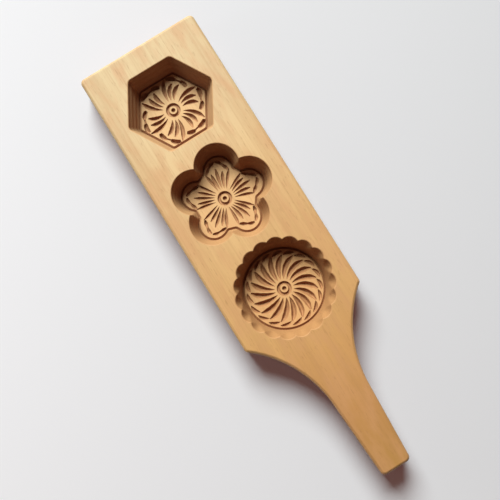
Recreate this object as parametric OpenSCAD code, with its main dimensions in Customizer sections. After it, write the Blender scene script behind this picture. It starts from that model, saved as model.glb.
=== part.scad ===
// Wooden cookie mold: one carved board with a handle and three moulding cavities in a row.
// The board lies flat, its cavities face up (+Z), its far end points along +Y and its handle along -Y.
// The origin is under the middle of the whole length, on the underside.

/* [Blank] */
// Wood left under the cavity floors
floor_t = 9; // [6:0.5:15]
// Wood left on each side of the widest cavity
side_wall = 9.2; // [6:0.2:15]
// Wood left between the far end and the hexagon's rim
far_margin = 15.5; // [10:0.5:30]
// Wood left between the rims of the hexagon and the blossom
upper_web = 7.8; // [4:0.2:15]
// Wood left between the rims of the blossom and the round cavity
lower_web = 5.2; // [4:0.2:15]
// Distance from the centre of the round cavity to the shoulder corners
shoulder_drop = 19.7; // [15:0.1:30]
// Plan radius of the two far corners
corner_r = 3; // [2.5:0.1:8]
// Plan radius of the two shoulder corners
shoulder_r = 2.6; // [2.5:0.1:5]
// Width of the rounding along every outer edge
edge_r = 1.8; // [0.6:0.1:2]

/* [Handle] */
// Length from the shoulder corners to the handle's end
handle_l = 101.5; // [85:0.5:150]
// Width at the handle's end
handle_end_w = 18.8; // [16:0.2:26]
// Taper of each side of the handle, in degrees
handle_taper = 3; // [1:0.1:4]
// Plan radius of the hollow curve from shoulder to handle
neck_r = 72; // [60:1:90]
// Plan radius of the corners at the handle's end
handle_end_r = 3; // [2.5:0.1:6]

/* [Cavities] */
// Depth of the three cavities, from the top face to their floors
cavity_depth = 16; // [8:0.5:24]
// Slope of the cavity walls from upright, in degrees
draft = 14; // [8:0.5:16]
// Width of the groove round the foot of each wall
groove_w = 1; // [0.6:0.1:1.6]
// Depth of the groove round the foot of each wall
groove_d = 0.6; // [0.3:0.1:1.2]

/* [Hexagon] */
// Width of the hexagon's rim across its flats
hex_af = 50; // [44:0.5:60]
// Radius in the hexagon's corners
hex_corner_r = 2.4; // [1:0.1:4]

/* [Blossom] */
// Distance from the blossom's centre to the middle of each lobe
lobe_d = 17.5; // [15:0.5:20]
// Radius of each lobe at the rim
lobe_r = 13.5; // [12:0.1:16]
// How far the cusps between the lobes are filled at the foot of the wall, and relieved at the rim
cusp_fill = 0.8; // [0.4:0.1:1.2]

/* [Round] */
// Diameter of the round cavity at the rim, across the deepest points of its flutes
round_d = 60; // [54:0.5:70]
// Number of flutes in the round cavity's wall, and of strokes on its floor
flutes = 19; // [13:1:23]
// Depth of each flute at the rim
flute_depth = 1.8; // [1:0.1:2.4]
// How far the ridges between the flutes are relieved at the rim
flute_fade = 0.5; // [0.3:0.1:0.8]
// How far above the floor the flutes run out
flute_short = 1; // [0.5:0.1:3]
// Radius to which each flute narrows at its lower end
flute_end_r = 0.6; // [0.4:0.1:2]

/* [Rosette] */
// Radius of the pricked dot in the middle of each floor
dot_r = 1.25; // [0.8:0.05:1.8]
// Depth of the pricked dot
dot_depth = 1.2; // [0.6:0.1:2]
// Radius of the ring round the dot, at the middle of its groove
ring_r = 3.7; // [3:0.1:5]
// Width of the ring's groove
ring_w = 1.5; // [0.8:0.1:2]

/* [Strokes] */
// Gap between the ring and the inner ends of the strokes
stroke_gap = 2.4; // [1.5:0.1:4]
// Gap between the outermost strokes and the groove at the wall
tip_gap = 1; // [0.8:0.1:2]
// Width of a curved vein at its widest
vein_w = 1.7; // [1:0.1:2]
// How far a curved vein bows sideways
vein_bow = 1.2; // [1.1:0.05:1.6]
// Width of the straight lines on the blossom's floor
line_w = 1.2; // [0.8:0.1:1.6]
// Width of the scoops at the petal tips
scoop_w = 1.7; // [1.2:0.1:2]

/* [Hexagon's pinwheel] */
// Angle between neighbouring veins of a petal
hex_vein_step = 17; // [14:0.5:18]
// Angle from a petal's middle to the inner end of its leading vein
hex_vein_lead = 26.5; // [20:0.5:30]
// Angle through which the veins swing back towards their outer ends
hex_swirl = 8; // [4:0.5:14]
// Distance from the petal tips in to the ends of the short veins
hex_vein_short = 4.4; // [3:0.1:6]
// Angle from a petal's middle to the outer end of its first scoop
hex_scoop_lead = 12.5; // [8:0.5:16]
// Angle from the start of one scoop to the start of the next
hex_scoop_step = 25; // [22:0.5:27]
// Angle that one scoop covers
hex_scoop_span = 18; // [14:0.5:20]
// How much the tips draw in from scoop to scoop
hex_scoop_drop = 1.9; // [1:0.1:3]

/* [Blossom's petals] */
// Angle from a petal's middle to its side lines
petal_half = 27; // [22:0.5:30]
// Angle between a petal's veins
petal_vein_step = 12.5; // [10:0.5:13]
// Gap between the petal tips and the groove at the wall
petal_gap = 2.7; // [2:0.1:5]
// Distance from the petal tips in to the ends of the side lines
petal_shoulder = 5.4; // [4:0.1:7]
// Distance from the petal tips in to the ends of the veins
petal_vein_short = 7; // [5:0.1:8]
// How far the two strokes of a petal tip bow outwards
petal_tip_bow = 1; // [0.9:0.05:1.5]

/* [Round swirl] */
// Angle through which a stroke swings back towards its outer end
swirl = 17; // [10:0.5:24]
// Distance from the hooks in to the outer ends of the strokes
hook_gap = 2; // [1:0.1:4]
// Angle that one hook covers
hook_span = 15; // [10:0.5:17]
// Width of a hook at its widest
hook_w = 1.3; // [0.8:0.1:1.6]
// How far a hook bows outwards
hook_bow = 0.85; // [0.8:0.05:1.2]

/* [Hidden] */
$fn = 96;
// Cutters reach this far past the faces that they cut
over = 1;
// The groove at the foot of a wall reaches this far under the wall
undercut = 0.1;
// Steps in each rounded corner of the outline, in the neck and across a rounded edge
corner_steps = 6;
neck_steps = 16;
edge_steps = 5;

// Wall geometry, shared by the three cavities
foot_depth = cavity_depth + groove_d;
slope = tan(draft);
inset = cavity_depth * slope;

// Half widths of the three cavities at their floors, out to the wall
hex_foot = hex_af / 2 - inset;
lobe_foot = lobe_r - inset;
round_foot = round_d / 2 - flute_depth / 2 - inset;

// The blossom has a lobe along +X, so its reach differs to left and right and it sits off centre
lobes = 5;
lobe_step = 360 / lobes;
lobe_fine = lobe_step / 18;
blossom_reach_y = lobe_d * sin(lobe_step) + lobe_r;
blossom_w = lobe_d * (1 + cos(lobe_step / 2)) + 2 * lobe_r;
blossom_x = -lobe_d * (1 - cos(lobe_step / 2)) / 2;
cusp_rim = lobe_d * cos(lobe_step / 2) + sqrt(pow(lobe_r, 2) - pow(lobe_d * sin(lobe_step / 2), 2));
cusp_foot = cusp_rim - inset + cusp_fill;

// The flutes meet in sharp ridges at the rim
flute_step = 360 / flutes;
flute_fine = flute_step / 8;
ridge_rim = round_d / 2 - flute_depth;
flute_chord = 2 * ridge_rim * sin(flute_step / 2);
flute_r = arc_r(flute_chord, round_d / 2 - ridge_rim * cos(flute_step / 2));
flute_run = cavity_depth - flute_short;

// Overall sizes
thick = cavity_depth + floor_t;
board_w = max(round_d, blossom_w, hex_af / cos(30)) + 2 * side_wall;
cavity_run = hex_af + upper_web + 2 * blossom_reach_y + lower_web + round_d / 2;
board_l = far_margin + cavity_run + shoulder_drop;
overall_l = board_l + handle_l;

// Places along the board
far_y = overall_l / 2;
end_y = -overall_l / 2;
shoulder_y = far_y - board_l;
hex_y = far_y - far_margin - hex_af / 2;
blossom_y = hex_y - hex_af / 2 - upper_web - blossom_reach_y;
round_y = shoulder_y + shoulder_drop;

// Right side of the neck: the hollow arc starts at the shoulder corner and runs into the handle's side
shoulder = [board_w / 2, shoulder_y];
handle_end = [handle_end_w / 2, end_y];
handle_along = [sin(handle_taper), cos(handle_taper)];
handle_out = [cos(handle_taper), -sin(handle_taper)];
neck_along = (shoulder - handle_end) * handle_along;
neck_rise = (shoulder - handle_end) * handle_out;
neck_run = neck_along - sqrt(2 * neck_r * neck_rise - pow(neck_rise, 2));
neck_foot = handle_end + neck_run * handle_along;
neck_mid = neck_foot + neck_r * handle_out;

// The shoulder corner's round lies against the board's side and the hollow arc
shoulder_mid_x = board_w / 2 - shoulder_r;
shoulder_mid_y = neck_mid[1] + sqrt(pow(neck_r + shoulder_r, 2) - pow(neck_mid[0] - shoulder_mid_x, 2));
shoulder_mid = [shoulder_mid_x, shoulder_mid_y];
shoulder_turn = atan2(shoulder_mid_y - neck_mid[1], neck_mid[0] - shoulder_mid_x);

// The round of the handle's end corner lies against its side and its end
end_mid_x = handle_end[0] + handle_end_r * tan(handle_taper) - handle_end_r / cos(handle_taper);
end_mid = [end_mid_x, end_y + handle_end_r];

far_mid = [board_w / 2 - corner_r, far_y - corner_r];

// Reach of the carving on each floor
stroke_r = ring_r + ring_w / 2 + stroke_gap;
hex_tip = (hex_foot - groove_w) / cos(30 - hex_scoop_lead) - tip_gap;
petal_tip = lobe_d + lobe_foot - groove_w - petal_gap;
hook_tip = round_foot - groove_w - tip_gap - hook_w / 2;

// Point at a radius and an angle
function polar(r, a) = r * [cos(a), sin(a)];

// Points along an arc from angle a to b
function arc(mid, r, a, b, steps) = [for (i = [0:steps]) mid + polar(r, a + (b - a) * i / steps)];

// Radius of an arc with a given chord and rise
function arc_r(chord, rise) = (pow(chord / 2, 2) + pow(rise, 2)) / (2 * rise);

// Right side of the outline, drawn in by an inset, from the handle's end to the far end
function right_side(in) = let (
    // The neck ends where the shoulder's round would start
    shoulder_start = -shoulder_turn * (1 - 1 / corner_steps)
) concat(
    arc(end_mid, handle_end_r - in, -90, -handle_taper, corner_steps),
    arc(neck_mid, neck_r + in, 180 - handle_taper, 180 - shoulder_turn, neck_steps),
    arc(shoulder_mid, shoulder_r - in, shoulder_start, 0, corner_steps - 1),
    arc(far_mid, corner_r - in, 0, 90, corner_steps)
);

// Whole outline, drawn in by an inset, at height z
function outline(in, z) = let (right = right_side(in), last = len(right) - 1) concat(
    [for (p = right) [p[0], p[1], z]],
    [for (i = [last:-1:0]) [-right[i][0], right[i][1], z]]
);

// The larger of two sizes, with a rounded change from one to the other
function soft_max(a, b, round) = (a + b + norm([a - b, round])) / 2;

// Angle from the middle of the nearest of several equal steps
function within(a, step) = a - step * round(a / step);

// Distance at angle a from a centre to the far side of a circle of radius r whose own centre lies d out
function circle_reach(a, d, r) = d * cos(a) + sqrt(max(0, pow(r, 2) - pow(d * sin(a), 2)));

// Points of a ring, put at a depth below the top face
function at_depth(ring, depth) = [for (p = ring) [p[0], p[1], -depth]];

// Points round the hexagon's wall at a depth, drawn in by an inset
function hex_ring(depth, in) = let (
    corner_d = (hex_af / 2 - depth * slope - in - hex_corner_r) / cos(30)
) [for (a = [0:60:300]) each arc(polar(corner_d, a), hex_corner_r, a - 30, a + 30, corner_steps)];

// Distance from the blossom's centre to its wall, at an angle and a depth
function blossom_wall(a, depth) = let (
    lobe = circle_reach(within(a, lobe_step), lobe_d, lobe_r - depth * slope),
    cusp = cusp_rim - cusp_fill - depth * (cusp_rim - cusp_fill - cusp_foot) / cavity_depth
) soft_max(lobe, cusp, cusp_fill);

// Points round the blossom's wall at a depth, drawn in by an inset
function blossom_ring(depth, in) = [
    for (a = [0:lobe_fine:359.9]) polar(blossom_wall(a, depth) - in, a)
];

// Distance from the round cavity's centre to its wall, at an angle and a depth
function round_wall(a, depth) = let (
    ridge = ridge_rim - flute_fade - depth * (ridge_rim - flute_fade - round_foot) / cavity_depth,
    flute = flute_r - depth * (flute_r - flute_end_r) / flute_run
) max(ridge, circle_reach(within(a, flute_step), round_d / 2 - flute_r, flute));

// Points round the round cavity's wall at a depth, drawn in by an inset
function round_ring(depth, in) = [
    for (a = [0:flute_fine:359.9]) polar(round_wall(a, depth) - in, a)
];

// Solid through a stack of rings with equally many points, from the lowest ring to the highest
module loft(rings) {
    n = len(rings[0]);
    tops = len(rings) - 1;
    walls = [
        for (k = [0:tops - 1], i = [0:n - 1])
            let (j = (i + 1) % n, low = k * n, high = low + n)
            each [[low + i, high + i, high + j], [low + i, high + j, low + j]]
    ];
    foot = [for (i = [0:n - 1]) i];
    rim = [for (i = [n - 1:-1:0]) tops * n + i];
    polyhedron(points = [for (ring = rings) each ring], faces = concat([foot], walls, [rim]));
}

// Board and handle with all their edges rounded, before carving
module blank() {
    turns = [for (i = [0:edge_steps]) 90 * i / edge_steps];
    lower = [for (a = turns) outline(edge_r * (1 - sin(a)), edge_r * (1 - cos(a)))];
    upper = [for (a = turns) outline(edge_r * (1 - cos(a)), thick - edge_r * (1 - sin(a)))];
    below = [outline(edge_r, -over)];
    above = [outline(edge_r, thick + over)];
    intersection() {
        loft(concat(below, lower, upper, above));
        translate([-board_w / 2 - over, end_y - over, 0])
            cube([board_w + 2 * over, overall_l + 2 * over, thick]);
    }
}

// Hollow with a flat floor, cut from a stack of rings that reaches past the floor and the top face
module hollow(rings) {
    intersection() {
        loft(rings);
        translate([-board_w / 2, -board_w / 2, -cavity_depth]) cube([board_w, board_w, thick]);
    }
}

module hex_hollow() {
    hollow([for (depth = [foot_depth, -over]) at_depth(hex_ring(depth, 0), depth)]);
}

module blossom_hollow() {
    hollow([for (depth = [foot_depth, cavity_depth / 2, -over]) at_depth(blossom_ring(depth, 0), depth)]);
}

// The flutes are deepest at the rim and run out near the foot of the wall
module round_hollow() {
    levels = [foot_depth, flute_run, 3 * flute_run / 4, flute_run / 2, -over];
    hollow([for (depth = levels) at_depth(round_ring(depth, 0), depth)]);
}

// Groove in a floor, between two outlines
module groove(outer, inner) {
    translate([0, 0, -foot_depth])
        linear_extrude(groove_d + over)
        difference() {
            polygon(outer);
            polygon(inner);
        }
}

module hex_groove() {
    groove(hex_ring(cavity_depth, -undercut), hex_ring(cavity_depth, groove_w));
}

module blossom_groove() {
    groove(blossom_ring(cavity_depth, -undercut), blossom_ring(cavity_depth, groove_w));
}

module round_groove() {
    groove(round_ring(cavity_depth, -undercut), round_ring(cavity_depth, groove_w));
}

// Dot and ring in the middle of a floor
module rosette() {
    translate([0, 0, -dot_depth]) cylinder(h = 2 * dot_depth, r1 = dot_r / 2, r2 = 3 * dot_r / 2);
    rotate_extrude() translate([ring_r, 0]) circle(ring_w / 2);
}

// Curved V-cut from p to q that bows to its left and swells from its two points to width w
module bent_cut(p, q, bow, w) {
    run = q - p;
    chord = norm(run);
    depth = w / 2;
    outer_r = arc_r(chord, bow + depth);
    inner_r = arc_r(chord, bow - depth);
    translate([p[0], p[1], 0])
        rotate(atan2(run[1], run[0]))
        translate([chord / 2, bow, 0])
        difference() {
            translate([0, depth - outer_r, -depth])
                cylinder(h = 2 * depth, r1 = outer_r - depth, r2 = outer_r + depth);
            translate([0, -depth - inner_r, -2 * depth])
                cylinder(h = 4 * depth, r1 = inner_r + 2 * depth, r2 = inner_r - 2 * depth);
        }
}

// Straight V-cut from p to q that swells from its two points to width w
module straight_cut(p, q, w) {
    run = q - p;
    depth = w / 2;
    wall_r = arc_r(norm(run), depth);
    translate([(p + q)[0] / 2, (p + q)[1] / 2, -depth])
        rotate(atan2(run[1], run[0]))
        intersection_for(side = [-1, 1])
            translate([0, side * (wall_r - depth), 0])
            cylinder(h = 2 * depth, r1 = wall_r - depth, r2 = wall_r + depth);
}

// Pinwheel of six petals, each with a long and two short veins and a tip of two scoops
module hex_carving() {
    for (a = [0:60:300])
        rotate(a) {
            for (i = [0:2]) {
                turn = hex_vein_lead - i * hex_vein_step;
                reach = i == 0 ? hex_tip - tip_gap : hex_tip - hex_vein_short;
                bent_cut(polar(stroke_r, turn), polar(reach, turn - hex_swirl), vein_bow, vein_w);
            }
            for (i = [0:1]) {
                turn = hex_scoop_lead - i * hex_scoop_step;
                reach = hex_tip - i * hex_scoop_drop;
                far_end = polar(reach - scoop_w / 2, turn);
                near_end = polar(reach - hex_scoop_drop, turn - hex_scoop_span);
                bent_cut(far_end, near_end, vein_bow, scoop_w);
            }
        }
}

// Five petals, each with two side lines, three veins and a pointed tip
module blossom_carving() {
    for (i = [0:lobes - 1])
        rotate(i * lobe_step) {
            for (k = [-1:1]) {
                turn = k * petal_vein_step;
                straight_cut(polar(stroke_r, turn), polar(petal_tip - petal_vein_short, turn), line_w);
            }
            for (flip = [0, 1])
                mirror([0, flip, 0]) {
                    side_end = polar(petal_tip - petal_shoulder, petal_half);
                    straight_cut(polar(stroke_r, petal_half), side_end, line_w);
                    bent_cut(side_end, [petal_tip, 0], petal_tip_bow, scoop_w);
                }
        }
}

// Swirl of bent strokes that start in line with the ridges, each with a hook along the edge of the floor
module round_carving() {
    for (i = [0:flutes - 1])
        rotate((i + 1 / 2) * flute_step) {
            stroke_end = polar(hook_tip - hook_gap, -swirl);
            hook_start = polar(hook_tip - hook_gap / 2, -swirl - flute_step / 4);
            hook_end = polar(hook_tip, -swirl - flute_step / 4 - hook_span);
            bent_cut(polar(stroke_r, 0), stroke_end, vein_bow, vein_w);
            bent_cut(hook_start, hook_end, hook_bow, hook_w);
        }
}

// Places its children at a cavity's centre, on the top face
module at_hex() {
    translate([0, hex_y, thick]) children();
}

module at_blossom() {
    translate([blossom_x, blossom_y, thick]) children();
}

// One flute of the round cavity points to the far end
module at_round() {
    translate([0, round_y, thick]) rotate(90) children();
}

// Places its children on the floor of a cavity
module on_floor() {
    translate([0, 0, -cavity_depth]) children();
}

module mold_body() {
    color("#d9b27c")
        difference() {
            blank();
            at_hex() hex_hollow();
            at_blossom() blossom_hollow();
            at_round() round_hollow();
            at_hex() hex_groove();
            at_blossom() blossom_groove();
            at_round() round_groove();
            at_hex() on_floor() rosette();
            at_blossom() on_floor() rosette();
            at_round() on_floor() rosette();
            at_hex() on_floor() hex_carving();
            at_blossom() on_floor() blossom_carving();
            at_round() on_floor() round_carving();
        }
}

mold_body();
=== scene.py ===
import math
import random

import bmesh
import bpy
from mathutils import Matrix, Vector


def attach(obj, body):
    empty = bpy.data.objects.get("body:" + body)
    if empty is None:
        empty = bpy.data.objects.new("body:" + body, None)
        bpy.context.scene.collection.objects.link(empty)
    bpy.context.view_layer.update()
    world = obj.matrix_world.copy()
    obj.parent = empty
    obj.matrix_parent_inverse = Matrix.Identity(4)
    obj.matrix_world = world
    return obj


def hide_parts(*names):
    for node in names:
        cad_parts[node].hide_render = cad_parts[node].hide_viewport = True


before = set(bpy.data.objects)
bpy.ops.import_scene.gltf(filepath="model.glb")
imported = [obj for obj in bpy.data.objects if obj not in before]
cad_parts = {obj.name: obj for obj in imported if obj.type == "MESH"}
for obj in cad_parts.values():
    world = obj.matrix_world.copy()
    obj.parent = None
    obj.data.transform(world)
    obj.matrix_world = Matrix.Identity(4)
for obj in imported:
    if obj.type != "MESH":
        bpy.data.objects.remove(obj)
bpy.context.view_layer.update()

mm = 0.001
tiny = 0.01                                     # mm within which two places count as one
facing = 0.9                                    # least part of a face's normal that points a given way


def deselectAll():
    if bpy.context.mode != "OBJECT":
        bpy.ops.object.mode_set(mode="OBJECT")
    bpy.ops.object.select_all(action="DESELECT")


def makeActive(*pieces):
    deselectAll()
    for piece in pieces:
        piece.select_set(True)
    bpy.context.view_layer.objects.active = pieces[0]


# Leaves the piece in edit mode with only the chosen faces or edges selected
def selectWhere(piece, part, test):
    makeActive(piece)
    bpy.ops.object.mode_set(mode="EDIT")
    bpy.ops.mesh.select_mode(type="FACE" if part == "polygons" else "EDGE")
    bpy.ops.mesh.select_all(action="DESELECT")
    bpy.ops.object.mode_set(mode="OBJECT")
    for item in getattr(piece.data, part):
        item.select = test(item)
    bpy.ops.object.mode_set(mode="EDIT")


# Turns every face outwards, after merging the points that lie closer than some mm
def closeUp(piece, mergeWithin=0):
    makeActive(piece)
    bpy.ops.object.mode_set(mode="EDIT")
    bpy.ops.mesh.select_all(action="SELECT")
    if mergeWithin:
        bpy.ops.mesh.remove_doubles(threshold=mergeWithin * mm)
    bpy.ops.mesh.normals_make_consistent(inside=False)
    bpy.ops.object.mode_set(mode="OBJECT")


def applyPlace(piece):
    makeActive(piece)
    bpy.ops.object.transform_apply(location=True, rotation=True, scale=True)


def joinAll(pieces):
    makeActive(*pieces)
    bpy.ops.object.join()
    return bpy.context.object


def polar(r, angle):
    return Vector((r * math.cos(math.radians(angle)), r * math.sin(math.radians(angle))))


# Materials

mixShare, mixFrom, mixTo, mixOut = 0, 6, 7, 2   # the sockets of a Mix node that mixes colours


# An sRGB colour, made linear
def fromHex(code):
    parts = [int(code[i:i + 2], 16) / 255 for i in (1, 3, 5)]
    return [*(c / 12.92 if c <= 0.04045 else ((c + 0.055) / 1.055) ** 2.4 for c in parts), 1.0]


# One node with its settings, in a material or the world; an input is a plain value or another node's output
def addNode(owner, kind, inputs=None, **settings):
    node = owner.node_tree.nodes.new(kind)
    for name, value in settings.items():
        setattr(node, name, value)
    for name, value in (inputs or {}).items():
        if isinstance(value, bpy.types.NodeSocket):
            owner.node_tree.links.new(value, node.inputs[name])
        else:
            node.inputs[name].default_value = value
    return node


def newMaterial(name):
    material = bpy.data.materials.new(name)
    material.use_nodes = True
    return material, material.node_tree.nodes["Principled BSDF"]


# Beech, the same solid wood all through, with growth rings, blotches, fine streaks and ray flecks that
# run lengthwise. Sizes in mm. Real flecks are 0.2 mm wide, too fine to show, so they are drawn about
# four times as coarse. Light that the wood passes on into its own hollows is drawn darker and redder
# than the wood: painted shade, which makes the hollows a deeper brown than the light alone gives.
beech = {
    "rings": {"tone": "#c08d55", "width": 9, "length": 160, "low": 0.42, "high": 0.7},
    "blotches": {"tone": "#e0a873", "width": 7, "length": 22, "low": 0.45, "high": 0.65},
    "streaks": {"tone": "#c2925a", "width": 1.1, "length": 55, "low": 0.45, "high": 0.75},
    "flecks": {"tone": "#9a6637", "width": 0.75, "length": 5, "low": 0.6, "high": 0.72},
    "noiseDetail": 3.0,
    "bounceShadeTint": "#7e4231",
    "ior": 1.5,
}
# What each finish gives the eye: the sanded outside has a soft sheen and darkens from the far end to the
# handle's end, partly the wood's own tone and partly painted light, brighter at the far end where the lamp
# stands. The carved floors are matt and painted paler, painted light that offsets the shade of the cavities,
# and the walls are painted browner and the gouge cuts browner still, painted shade that deepens the
# hollows; their tones too darken towards the handle. A tone stands with its place along the mold in mm,
# and each part of the grain with its strength.
finishes = {
    "beechSandedOiled": {
        # partly painted light: lighter towards the far end, on the lamp's side
        "tones": [(-145, "#c69550"), (-105, "#d29b5b"), (-65, "#e2ad69"), (-24, "#ebbc78"),
                  (41, "#f2cb8d"), (100, "#f2d8a2"), (145, "#ead29d")],
        "rings": 0.3, "blotches": 0.45, "streaks": 0.3, "flecks": 0.26,
        "roughness": 0.5, "bump": 0.05,
    },
    # painted light: the floors are paler than the wood, to offset the shade inside the cavities
    "beechCarvedPaintedLight": {
        "tones": [(-60, "#f4bd79"), (40, "#f9cb8a"), (145, "#fad699")],
        "rings": 0.15, "blotches": 0.2, "streaks": 0.25, "flecks": 0.2,
        "roughness": 0.62, "bump": 0.1,
    },
    # painted shade: the cavity walls are drawn darker and browner than the floors
    "beechWallPaintedShade": {
        "tones": [(-60, "#dda86b"), (40, "#e0b077"), (145, "#ecc590")],
        "rings": 0.1, "blotches": 0.15, "streaks": 0.2, "flecks": 0.1,
        "roughness": 0.62, "bump": 0.1,
    },
    # painted shade: the gouge cuts and foot grooves are drawn darker than the floors
    "beechGougedPaintedShade": {
        "tones": [(-60, "#d69a62"), (145, "#daa878")],
        "rings": 0.1, "blotches": 0.1, "streaks": 0.3, "flecks": 0.1,
        "roughness": 0.66, "bump": 0.1,
    },
}


def beechFinish(name):
    finish = finishes[name]
    material, shader = newMaterial(name)
    coords = addNode(material, "ShaderNodeTexCoord").outputs["Object"]
    along = addNode(material, "ShaderNodeSeparateXYZ", {0: coords}).outputs["Y"]
    tones = finish["tones"]
    first, last = tones[0][0], tones[-1][0]
    share = addNode(material, "ShaderNodeMapRange",
                    {"Value": along, "From Min": first * mm, "From Max": last * mm}).outputs[0]
    ramp = addNode(material, "ShaderNodeValToRGB", {0: share})
    stops = ramp.color_ramp.elements
    for y, _ in tones[1:-1]:
        stops.new((y - first) / (last - first))
    for stop, (_, tone) in zip(stops, tones):
        stop.color = fromHex(tone)
    tone = ramp.outputs[0]
    for part in ("rings", "blotches", "streaks", "flecks"):
        grain = beech[part]
        scale = [1 / (grain[way] * mm) for way in ("width", "length", "width")]
        space = addNode(material, "ShaderNodeMapping", {"Vector": coords, "Scale": scale}).outputs[0]
        noise = addNode(material, "ShaderNodeTexNoise",
                        {"Vector": space, "Scale": 1.0, "Detail": beech["noiseDetail"]}).outputs[0]
        mask = addNode(material, "ShaderNodeMapRange",
                       {"Value": noise, "From Min": grain["low"], "From Max": grain["high"],
                        "To Max": finish[part]}).outputs[0]
        tone = addNode(material, "ShaderNodeMix",
                       {mixShare: mask, mixFrom: tone, mixTo: fromHex(grain["tone"])},
                       data_type="RGBA").outputs[mixOut]
        if part == "streaks":
            bump = addNode(material, "ShaderNodeBump", {"Height": noise, "Distance": finish["bump"] * mm})
            material.node_tree.links.new(bump.outputs[0], shader.inputs["Normal"])
    # painted shade: light bounced from wood to wood is tinted darker and redder
    bounced = addNode(material, "ShaderNodeLightPath").outputs["Is Diffuse Ray"]
    tone = addNode(material, "ShaderNodeMix",
                   {mixShare: bounced, mixFrom: tone, mixTo: fromHex(beech["bounceShadeTint"])},
                   data_type="RGBA", blend_type="MULTIPLY").outputs[mixOut]
    material.node_tree.links.new(tone, shader.inputs["Base Color"])
    shader.inputs["Roughness"].default_value = finish["roughness"]
    shader.inputs["IOR"].default_value = beech["ior"]
    return material


beechSanded, beechCarved, beechWall, beechGouged = [beechFinish(name) for name in finishes]
print("materials:", ", ".join(finishes))


# Blank: board, neck and handle in one piece, sizes in mm

blank = {
    "halfWidth": 39.2, "thick": 25.0, "edgeRound": 1.8, "edgeSteps": 5, "edgeProfile": 0.38,
    "farCorner": (36.2, 141.98, 3.0),           # x, y and radius of the arcs of the right side
    "shoulder": (36.6, -42.25, 2.6),
    "neck": (83.86, -99.97, 72.0),
    "endCorner": (6.55, -141.98, 3.0),
    "handleTaper": 3.0,                         # degrees that each side of the handle leans in
    "cornerSteps": 7, "neckSteps": 26,
}


def arcPoints(arc, start, end, steps):
    middle = Vector(arc[:2])
    return [middle + polar(arc[2], start + (end - start) * i / steps) for i in range(steps + 1)]


# Draws the selected end face out through the points of the right side
def drawOut(points):
    height = blank["thick"] / 2 * mm
    for last, point in zip(points, points[1:]):
        step = point.y - last.y
        if abs(step) < tiny:
            continue
        bpy.ops.mesh.extrude_region_move(TRANSFORM_OT_translate={"value": (0, step * mm, 0)})
        bpy.ops.transform.resize(value=(point.x / last.x, 1, 1), center_override=(0, point.y * mm, height))


def makeBlank():
    deselectAll()
    far, near, thick = blank["farCorner"][1], blank["shoulder"][1], blank["thick"]
    bpy.ops.mesh.primitive_cube_add(size=1, location=(0, (far + near) / 2 * mm, thick / 2 * mm),
                                    scale=(2 * blank["halfWidth"] * mm, (far - near) * mm, thick * mm))
    piece = bpy.context.object
    piece.name = "moldBody"
    applyPlace(piece)
    corner = blank["cornerSteps"]
    selectWhere(piece, "polygons", lambda face: face.normal.y > facing)
    drawOut(arcPoints(blank["farCorner"], 0, 90, corner))
    turn = math.degrees(math.atan2(blank["neck"][1] - near, blank["neck"][0] - blank["shoulder"][0]))
    taper = blank["handleTaper"]
    side = arcPoints(blank["shoulder"], 0, turn, corner)
    side += arcPoints(blank["neck"], 180 + turn, 180 - taper, blank["neckSteps"])[1:]
    side += arcPoints(blank["endCorner"], -taper, -90, corner)
    selectWhere(piece, "polygons", lambda face: face.normal.y < -facing)
    drawOut(side)
    # one face each above and below, then their edges are rounded over
    selectWhere(piece, "polygons", lambda face: abs(face.normal.z) > facing)
    bpy.ops.mesh.dissolve_faces()
    bpy.ops.object.mode_set(mode="OBJECT")
    heights = [point.co.z for point in piece.data.vertices]
    selectWhere(piece, "edges",
                lambda edge: abs(heights[edge.vertices[0]] - heights[edge.vertices[1]]) < tiny * mm)
    bpy.ops.mesh.bevel(offset=blank["edgeRound"] * mm, segments=blank["edgeSteps"], affect="EDGES",
                       profile=blank["edgeProfile"], clamp_overlap=False)
    closeUp(piece)
    for finish in (beechSanded, beechCarved, beechWall, beechGouged):
        piece.data.materials.append(finish)
    return piece


moldBody = makeBlank()
print("blank:", len(moldBody.data.polygons), "faces")


# Cavities, cut by tools that are raised from the floor to the rim, sizes in mm

cavity = {
    "depth": 16.0, "draft": 14.0,
    "rimEase": 0.6, "rimTurn": 72, "rimSteps": 4,    # radius, degrees and steps of the rounded rim
    "grooveWidth": 1.5, "grooveDepth": 1.4,
    "grooveFlank": 0.2,                         # share of the groove's width that its outer flank takes
    "passes": 3, "passSteps": 4,                # the wall is cut in passes, each a shallow hollow
    "toolClear": 0.3, "toolFlare": 1.5,         # a tool's rise above the top face, and how it widens there
    "toolRadius": 20,                           # of a ring before it is put on its wall
}
hexagon = {"place": (0, 104.5), "sides": 6, "across": 50.0, "cornerRound": 2.4, "cornerSteps": 6,
           "passHollow": 0.55}
blossom = {"place": (-1.67, 41.55), "lobes": 5, "lobeOut": 17.5, "lobeRadius": 13.5, "cuspRim": 22.1,
           "cuspFoot": 19.7, "cuspRound": 0.8, "points": 240, "passHollow": 0.55}
fluted = {"place": (0, -23.78), "flutes": 19, "fluteOut": 23.97, "fluteRadius": 6.03, "fluteEnd": 0.6,
          "fluteRun": 15.0, "ridgeRim": 28.2, "ridgeFoot": 25.1, "points": 228, "passHollow": 0.1}
slope = math.tan(math.radians(cavity["draft"]))


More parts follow.
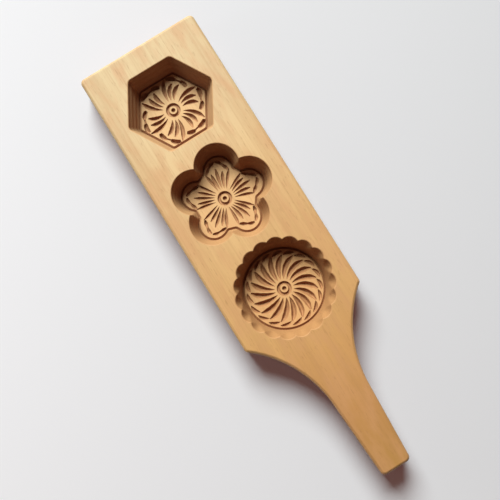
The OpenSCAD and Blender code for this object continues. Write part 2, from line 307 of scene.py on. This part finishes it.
# Depth and outward reach of each ring of a wall: the drafted wall, the eased rim, and clear of the top
def wallLevels(hollow):
    ease, clear, rimSteps = cavity["rimEase"], cavity["toolClear"], cavity["rimSteps"]
    turns = [math.radians(cavity["rimTurn"]) * i / rimSteps for i in range(rimSteps + 1)]
    rim = [(ease * (1 - math.sin(t)), ease * (1 - math.cos(t))) for t in turns]
    passSteps = cavity["passSteps"]
    steps = passSteps * cavity["passes"]
    wall = []
    for i in range(steps):
        depth = cavity["depth"] + (rim[0][0] - cavity["depth"]) * i / steps
        wall.append((depth, hollow * math.sin(math.pi * (i % passSteps) / passSteps)))
    return wall + rim + [(-clear, ease + cavity["toolFlare"] * clear)]


def nearestTurn(angle, step):
    return angle - step * round(angle / step)


# Reach from the cavity's middle to the far side of a circle whose own middle lies some way out
def circleReach(angle, out, radius):
    sine = out * math.sin(math.radians(angle))
    return out * math.cos(math.radians(angle)) + math.sqrt(max(0, radius ** 2 - sine ** 2))


# The lobes, with the cusps between them blended in
def blossomWall(angle, depth):
    lobe = circleReach(nearestTurn(angle, 360 / blossom["lobes"]), blossom["lobeOut"],
                       blossom["lobeRadius"] - depth * slope)
    cusp = blossom["cuspRim"] - depth * (blossom["cuspRim"] - blossom["cuspFoot"]) / cavity["depth"]
    return (lobe + cusp + math.hypot(lobe - cusp, blossom["cuspRound"])) / 2


# The flutes are deepest at the rim and run out near the foot
def flutedWall(angle, depth):
    ridge = fluted["ridgeRim"] - depth * (fluted["ridgeRim"] - fluted["ridgeFoot"]) / cavity["depth"]
    radius = fluted["fluteRadius"] - depth * (fluted["fluteRadius"] - fluted["fluteEnd"]) / fluted["fluteRun"]
    return max(ridge, circleReach(nearestTurn(angle - 90, 360 / fluted["flutes"]), fluted["fluteOut"],
                                  max(radius, 0)))


def floorPlace(place):
    return (place[0] * mm, place[1] * mm, (blank["thick"] - cavity["depth"]) * mm)


# Puts the selected ring on the wall
def shapeRing(piece, wall, depth, out):
    mesh = bmesh.from_edit_mesh(piece.data)
    for point in mesh.verts:
        if point.select:
            reach = wall(math.degrees(math.atan2(point.co.y, point.co.x)), depth) + out
            point.co.xy = point.co.xy.normalized() * reach * mm
    bmesh.update_edit_mesh(piece.data)


def raiseRing(depth, nextDepth):
    bpy.ops.mesh.extrude_region_move(TRANSFORM_OT_translate={"value": (0, 0, (depth - nextDepth) * mm)})


# Sinks a groove round the foot of the wall and leaves the tool at its place
def finishTool(piece):
    closeUp(piece)
    for finish in (beechWall, beechGouged, beechCarved):
        piece.data.materials.append(finish)
    selectWhere(piece, "polygons", lambda face: face.center.z < tiny * mm)
    piece.active_material_index = 1             # the floor, whose edge becomes the groove
    bpy.ops.object.material_slot_assign()
    flank = cavity["grooveFlank"]
    for width, way in ((flank, -1), (1 - flank, 1)):
        bpy.ops.mesh.inset(thickness=width * cavity["grooveWidth"] * mm)
        bpy.ops.transform.translate(value=(0, 0, way * cavity["grooveDepth"] * mm))
    piece.active_material_index = 2             # the floor inside the groove
    bpy.ops.object.material_slot_assign()
    applyPlace(piece)
    return piece


def walledTool(shape, wall):
    deselectAll()
    bpy.ops.mesh.primitive_circle_add(vertices=shape["points"], radius=cavity["toolRadius"] * mm,
                                      fill_type="NGON", location=floorPlace(shape["place"]))
    piece = bpy.context.object
    bpy.ops.object.mode_set(mode="EDIT")
    levels = wallLevels(shape["passHollow"])
    shapeRing(piece, wall, *levels[0])
    for (depth, _), (nextDepth, out) in zip(levels, levels[1:]):
        raiseRing(depth, nextDepth)
        shapeRing(piece, wall, nextDepth, out)
    return finishTool(piece)


def hexagonTool():
    deselectAll()
    middle = floorPlace(hexagon["place"])
    halfSide = math.radians(180 / hexagon["sides"])
    apothem = hexagon["across"] / 2 - cavity["depth"] * slope
    bpy.ops.mesh.primitive_circle_add(vertices=hexagon["sides"], radius=apothem / math.cos(halfSide) * mm,
                                      fill_type="NGON", location=middle, rotation=(0, 0, halfSide))
    piece = bpy.context.object
    bpy.ops.object.transform_apply(location=False, rotation=True, scale=True)
    bpy.ops.object.mode_set(mode="EDIT")
    bpy.ops.mesh.bevel(offset=hexagon["cornerRound"] * math.tan(halfSide) * mm,
                       segments=hexagon["cornerSteps"], affect="VERTICES")
    bpy.ops.mesh.select_all(action="SELECT")
    levels = wallLevels(hexagon["passHollow"])
    for (depth, _), (nextDepth, out) in zip(levels, levels[1:]):
        nextApothem = hexagon["across"] / 2 - nextDepth * slope + out
        growth = nextApothem / apothem
        raiseRing(depth, nextDepth)
        bpy.ops.transform.resize(value=(growth, growth, 1), center_override=middle)
        apothem = nextApothem
    return finishTool(piece)


# Crossing is for a tool whose own parts run through each other
def cutAway(piece, tool, crossing=False):
    makeActive(piece)
    cut = piece.modifiers.new("carving", "BOOLEAN")
    cut.object = tool
    cut.operation = "DIFFERENCE"
    cut.solver = "EXACT"
    cut.use_self = crossing
    cut.material_mode = "TRANSFER"
    bpy.ops.object.modifier_apply(modifier=cut.name)
    bpy.data.objects.remove(tool)


for tool in (hexagonTool(), walledTool(blossom, blossomWall), walledTool(fluted, flutedWall)):
    cutAway(moldBody, tool)
print("cavities cut:", len(moldBody.data.polygons), "faces")


# Carved floors: gouge strokes swept along curves, sizes in mm and degrees round each cavity's middle

gouge = {
    # sections across a cut, whose half width is one unit: the vein is steep on one side and eases out on
    # the other, and the valley leans to neither side and eases out on both
    "vein": [(1.1, 0.3), (1.0, 0.0), (0.86, -0.9), (0.55, -1.65), (0.08, -1.9), (-0.42, -1.55), (-0.8, -0.85),
             (-1.1, -0.14), (-1.3, 0.08), (-1.5, 0.3)],
    "valley": [(1.65, 0.3), (1.3, 0.04), (1.0, -0.22), (0.72, -0.95), (0.4, -1.6), (0.0, -1.8), (-0.4, -1.6),
               (-0.72, -0.95), (-1.0, -0.22), (-1.3, 0.04), (-1.65, 0.3)],
    "spots": (0, 0.25, 0.5, 0.75, 1),           # shares of a stroke's length at its five points
    "smoothness": 5,
    "wander": 0.5,                              # hand-held tool: degrees that a stroke strays
    "mergeWithin": 0.0005,
}
# share of a cut's full size at each point from its start to its tip
swells = {
    "spindle": (0.1, 0.65, 1.0, 0.95, 0.3),
    "bean": (0.6, 0.95, 1.0, 0.95, 0.55),
    "line": (0.8, 0.8, 0.8, 0.8, 0.8),
    "tip": (0.5, 1.0, 0.55, 0.95, 0.5),
    "crescent": (0.15, 0.8, 1.0, 0.85, 0.2),
}
rosette = {"ring": 3.45, "ringWidth": 2.1, "ringSteps": 64, "ringSides": 14,
           "dot": 1.35, "dotSteps": 32, "dotRings": 16, "deepen": 1.7}


def makeSection(points):
    curve = bpy.data.curves.new("gougeSection", "CURVE")
    spline = curve.splines.new("POLY")
    spline.points.add(len(points) - 1)
    for point, (x, y) in zip(spline.points, points):
        point.co = (x * mm, y * mm, 0, 1)
    spline.use_cyclic_u = True
    section = bpy.data.objects.new("gougeSection", curve)
    bpy.context.collection.objects.link(section)
    return section


# Points of a stroke that bows out to its left by some mm at the middle
def bowed(start, end, bow):
    start, end = polar(*start), polar(*end)
    left = Vector((start.y - end.y, end.x - start.x)).normalized()
    # 4 t (1 - t) rises from 0 at the ends to 1 at the middle
    return [start.lerp(end, t) + left * bow * 4 * t * (1 - t) for t in gouge["spots"]]


def through(*stops):
    return [polar(r, angle) for r, angle in stops]


def sweepStroke(points, width, section, swell):
    deselectAll()
    bpy.ops.curve.primitive_bezier_curve_add()
    stroke = bpy.context.object
    bpy.ops.object.mode_set(mode="EDIT")
    bpy.ops.curve.select_all(action="SELECT")
    bpy.ops.curve.subdivide(number_cuts=len(points) - 2)
    bpy.ops.object.mode_set(mode="OBJECT")
    curve = stroke.data
    curve.dimensions = "3D"
    curve.twist_mode = "Z_UP"
    curve.resolution_u = gouge["smoothness"]
    curve.bevel_mode = "OBJECT"
    curve.bevel_object = section
    curve.use_fill_caps = True
    for spot, point, share in zip(curve.splines[0].bezier_points, points, swell):
        spot.handle_left_type = spot.handle_right_type = "AUTO"
        spot.co = (point.x * mm, point.y * mm, 0)
        spot.radius = share * width / 2
    bpy.ops.object.convert(target="MESH")
    return bpy.context.object


def rosetteTools():
    deselectAll()
    bpy.ops.mesh.primitive_torus_add(major_radius=rosette["ring"] * mm,
                                     minor_radius=rosette["ringWidth"] / 2 * mm,
                                     major_segments=rosette["ringSteps"],
                                     minor_segments=rosette["ringSides"])
    ring = bpy.context.object
    bpy.ops.mesh.primitive_uv_sphere_add(segments=rosette["dotSteps"], ring_count=rosette["dotRings"],
                                         radius=rosette["dot"] * mm)
    dot = bpy.context.object
    for piece in (ring, dot):
        piece.scale.z = rosette["deepen"]
        applyPlace(piece)
    return [ring, dot]


# One repeat is swept once, then copied round the cavity, each copy turned by its own small stray
def carveFloor(shape, carving):
    stray = random.Random(carving["seed"])
    section = makeSection(gouge[carving["cut"]])
    first = joinAll([sweepStroke(points, width, section, swells[swell])
                     for points, width, swell in carving["strokes"]])
    tools = []
    for i in range(carving["repeats"]):
        tool = first.copy()
        tool.data = first.data.copy()
        bpy.context.collection.objects.link(tool)
        turn = carving["start"] + 360 / carving["repeats"] * i + stray.uniform(-1, 1) * gouge["wander"]
        tool.rotation_euler = (0, 0, math.radians(turn))
        tools.append(tool)
    bpy.data.objects.remove(first)
    bpy.data.objects.remove(section)
    tool = joinAll(rosetteTools() + tools)
    tool.location = floorPlace(shape["place"])
    applyPlace(tool)
    closeUp(tool, gouge["mergeWithin"])
    # the cuts take the gouge finish, painted darker as shade in the cuts
    tool.data.materials.clear()
    tool.data.materials.append(beechGouged)
    cutAway(moldBody, tool, crossing=True)


# A stroke is its points, its width and its swell. One repeat of each pattern is listed, and start is the
# direction of the first.
pinwheel = {
    "cut": "vein", "repeats": hexagon["sides"], "start": 0, "seed": 3,
    "strokes": [
        (bowed((6.2, 27), (19.8, 15.8), 1.15), 2.5, "spindle"),
        (bowed((6.2, 9.8), (16.6, 2.6), 1.15), 2.45, "spindle"),
        (bowed((6.2, -7.4), (16.2, -13), 1.15), 2.45, "spindle"),
        (through((16.4, -30), (17.2, -26.5), (17.9, -22), (18.3, -17.5), (18.4, -13.5)), 2.6, "bean"),
        (through((18.4, -13.5), (18.4, -11), (18.5, -9), (18.6, -7), (18.7, -5)), 1.3, "line"),
        (through((18.7, -5.5), (19.4, -1), (19.9, 4), (20.0, 8.5), (19.6, 12.5)), 2.7, "bean"),
    ],
}
petals = {
    "cut": "vein", "repeats": blossom["lobes"], "start": 2.5, "seed": 5,
    "strokes": [
        (bowed((6, -14), (16.8, -11), 0.2), 1.95, "spindle"),
        (bowed((6, -1.5), (18.8, 1.5), 0.2), 1.95, "spindle"),
        (bowed((6, 11), (16.8, 14), 0.2), 1.95, "spindle"),
    ],
}
# a petal's two edges and the halves of its outlined tip mirror each other
for flip in (1, -1):
    petals["strokes"] += [
        (bowed((6, 27 * flip), (18.4, 24 * flip), -0.2 * flip), 1.75, "spindle"),
        (through((18.0, 22.5 * flip), (19.3, 17 * flip), (20.8, 11 * flip), (22.3, 6 * flip), (23.2, flip)),
         2.2, "tip"),
    ]
swirl = {
    "cut": "valley", "repeats": fluted["flutes"], "start": 90 + 180 / fluted["flutes"], "seed": 8,
    "strokes": [
        (through((5.8, 0), (9, -2), (13, -6.2), (17, -12), (20.3, -17.8)), 2.8, "spindle"),
        (through((20.2, -19.5), (21.2, -24), (22.0, -28.5), (22.4, -33), (22.5, -37.5)), 1.95, "crescent"),
    ],
}
for name, shape, carving in (("hexagon", hexagon, pinwheel), ("blossom", blossom, petals),
                             ("round", fluted, swirl)):
    carveFloor(shape, carving)
    print(name, "floor carved:", len(moldBody.data.polygons), "faces")


# Smooth curves with crisp cuts and a flat top face, sizes in mm and degrees

surface = {"mergeWithin": 0.002, "smoothAngle": 34}


def finishSurface(piece):
    closeUp(piece, surface["mergeWithin"])
    bpy.ops.object.shade_smooth_by_angle(angle=math.radians(surface["smoothAngle"]))
    soft = piece.modifiers.new("evenShading", "WEIGHTED_NORMAL")
    soft.keep_sharp = True
    bpy.ops.object.modifier_apply(modifier=soft.name)


finishSurface(moldBody)
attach(moldBody, "root")
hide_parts("mold_body")
print("mold finished:", sum(len(face.vertices) - 2 for face in moldBody.data.polygons), "triangles")


# Stage, camera and light

stage = {
    "size": 4.0,                                # metres
    "gap": 0.02,                                # mm that keep the sheet off the mold's own underside
    # the tones grey towards the right as a painted falloff of light
    "leftTone": "#edf5f7", "rightTone": "#d6e0e2",
    "across": 400, "turn": -14,                 # mm from one tone to the other, and which way they run
    # the glow tone is a painted warm glow that lifts the shadow on the paper
    "paintedGlowTone": "#4a2f2b", "roughness": 0.9,
}
# place in mm, turn in radians; the lens, its sensor and the nearest point that it shows in mm
camera = {"place": (-18.65, -26.5, 484.6), "turn": (0.074, 0.013, -0.555), "lens": 56.88, "sensor": 36,
          "nearest": 10}
# lamps: degrees round and above the mold, then metres and watts
light = {
    "key": {"azimuth": 79, "height": 46, "away": 3.0, "size": 1.75, "watts": 113},
    "side": {"azimuth": 148, "height": 25, "away": 0.6, "size": 0.25, "watts": 0.12},
    "room": 0.065, "roomTone": "#ffbfae",
    "backdrop": 1.0, "backdropTone": "#e8e8e8",
}


# Paper that greys a little from the picture's left to its right, a painted falloff of light; a faint warm
# glow that only the camera sees is painted on it, which lifts and warms the shadow that falls on it
def paper():
    material, shader = newMaterial("paperMatte")
    coords = addNode(material, "ShaderNodeTexCoord").outputs["Object"]
    side = [*polar(1, stage["turn"]), 0]
    reach = addNode(material, "ShaderNodeVectorMath", {0: coords, 1: side},
                    operation="DOT_PRODUCT").outputs["Value"]
    half = stage["across"] / 2 * mm
    share = addNode(material, "ShaderNodeMapRange",
                    {"Value": reach, "From Min": -half, "From Max": half}).outputs[0]
    tone = addNode(material, "ShaderNodeMix",
                   {mixShare: share, mixFrom: fromHex(stage["leftTone"]), mixTo: fromHex(stage["rightTone"])},
                   data_type="RGBA").outputs[mixOut]
    material.node_tree.links.new(tone, shader.inputs["Base Color"])
    shader.inputs["Roughness"].default_value = stage["roughness"]
    # a painted glow, seen only by the camera, lifts and warms the shadow on the paper
    shader.inputs["Emission Color"].default_value = fromHex(stage["paintedGlowTone"])
    seen = addNode(material, "ShaderNodeLightPath").outputs["Is Camera Ray"]
    material.node_tree.links.new(seen, shader.inputs["Emission Strength"])
    return material


def laySheet():
    deselectAll()
    bpy.ops.mesh.primitive_plane_add(size=stage["size"], location=(0, 0, -stage["gap"] * mm))
    tableTop = bpy.context.object
    tableTop.name = "paperSheet"
    tableTop.data.materials.append(paper())


def addLamp(name, lamp):
    flat = polar(math.cos(math.radians(lamp["height"])), lamp["azimuth"])
    toLamp = Vector((flat.x, flat.y, math.sin(math.radians(lamp["height"]))))
    deselectAll()
    bpy.ops.object.light_add(type="AREA", location=toLamp * lamp["away"],
                             rotation=toLamp.to_track_quat("Z", "Y").to_euler())
    piece = bpy.context.object
    piece.name = name
    piece.data.shape = "DISK"
    piece.data.size = lamp["size"]
    piece.data.energy = lamp["watts"]


# The room gives a faint warm light, but the camera sees it as a pale backdrop
def lightRoom():
    world = bpy.data.worlds.new("studio")
    bpy.context.scene.world = world
    world.use_nodes = True
    background = world.node_tree.nodes["Background"]
    seen = addNode(world, "ShaderNodeLightPath").outputs["Is Camera Ray"]
    tone = addNode(world, "ShaderNodeMix",
                   {mixShare: seen, mixFrom: fromHex(light["roomTone"]),
                    mixTo: fromHex(light["backdropTone"])},
                   data_type="RGBA").outputs[mixOut]
    strength = addNode(world, "ShaderNodeMapRange",
                       {"Value": seen, "To Min": light["room"], "To Max": light["backdrop"]}).outputs[0]
    world.node_tree.links.new(tone, background.inputs["Color"])
    world.node_tree.links.new(strength, background.inputs["Strength"])


def placeCamera():
    bpy.ops.object.camera_add(location=[value * mm for value in camera["place"]], rotation=camera["turn"])
    piece = bpy.context.object
    piece.data.lens = camera["lens"]
    piece.data.sensor_width = camera["sensor"]
    piece.data.clip_start = camera["nearest"] * mm
    bpy.context.scene.camera = piece


laySheet()
addLamp("keyLamp", light["key"])
addLamp("sideLamp", light["side"])
lightRoom()
placeCamera()
bpy.context.scene.view_settings.view_transform = "Standard"
print("stage, lamps and camera placed")
